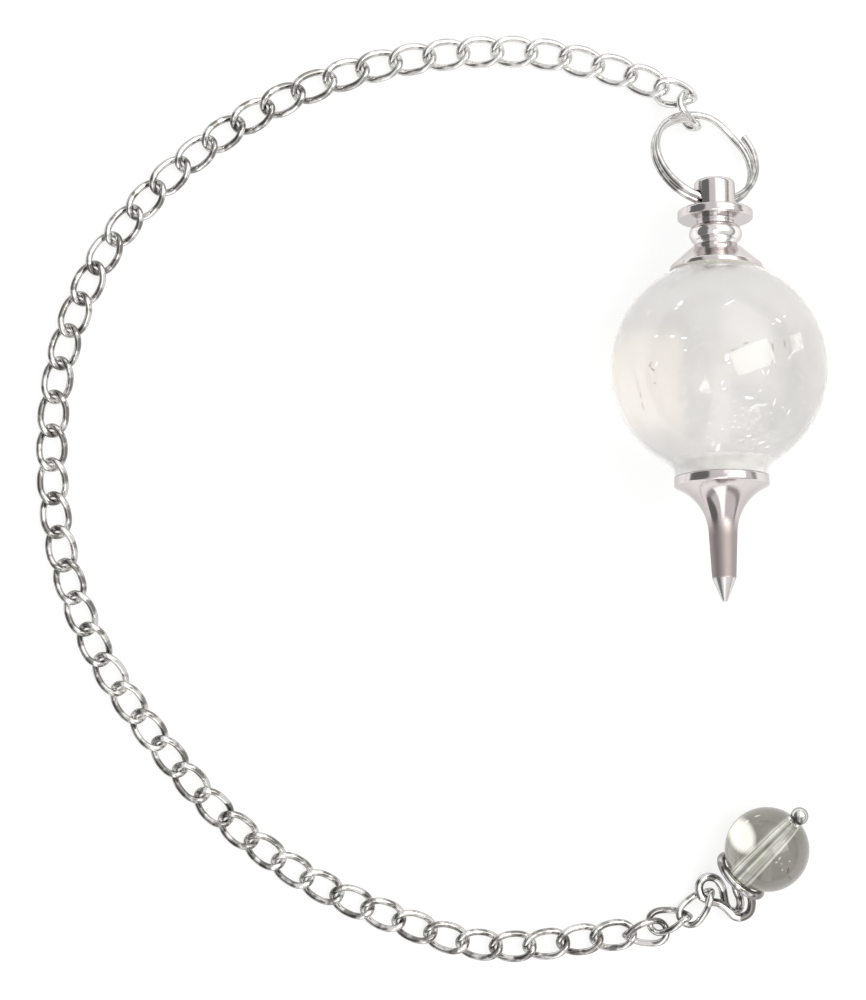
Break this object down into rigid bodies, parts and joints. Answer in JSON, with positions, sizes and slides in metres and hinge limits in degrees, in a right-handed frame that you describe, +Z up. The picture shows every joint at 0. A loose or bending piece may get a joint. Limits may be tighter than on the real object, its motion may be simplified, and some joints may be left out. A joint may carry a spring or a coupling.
{
  "type": "pendulum pendant",
  "caption": "Quartz ball pendulum with turned silver caps and a long point, a split ring and a curb chain laid in an open curve to a small drilled bead.",
  "frame": {"origin": "on the surface that the pendulum lies on, under the middle of its bounding box", "axes": "+Z up from the surface; +Y along the pendulum from its point to its stem; +X from the chain's curve towards the ball"},
  "size_m": [0.0738, 0.088, 0.02],
  "materials": {
    "clear_quartz": "polished, slightly milky clear quartz with fine inclusions",
    "smoky_quartz": "polished, faintly smoky clear quartz",
    "silver_cap": "polished silver plate on turned brass",
    "silver_wire": "polished silver plate on drawn wire"
  },
  "bodies": {
    "root": {"crystal_ball": "clear_quartz", "top_cap": "silver_cap", "point_cap": "silver_cap", "split_ring": "silver_wire", "chain": "silver_wire", "end_bead": "smoky_quartz", "head_pin": "silver_wire"}
  },
  "joints": []
}
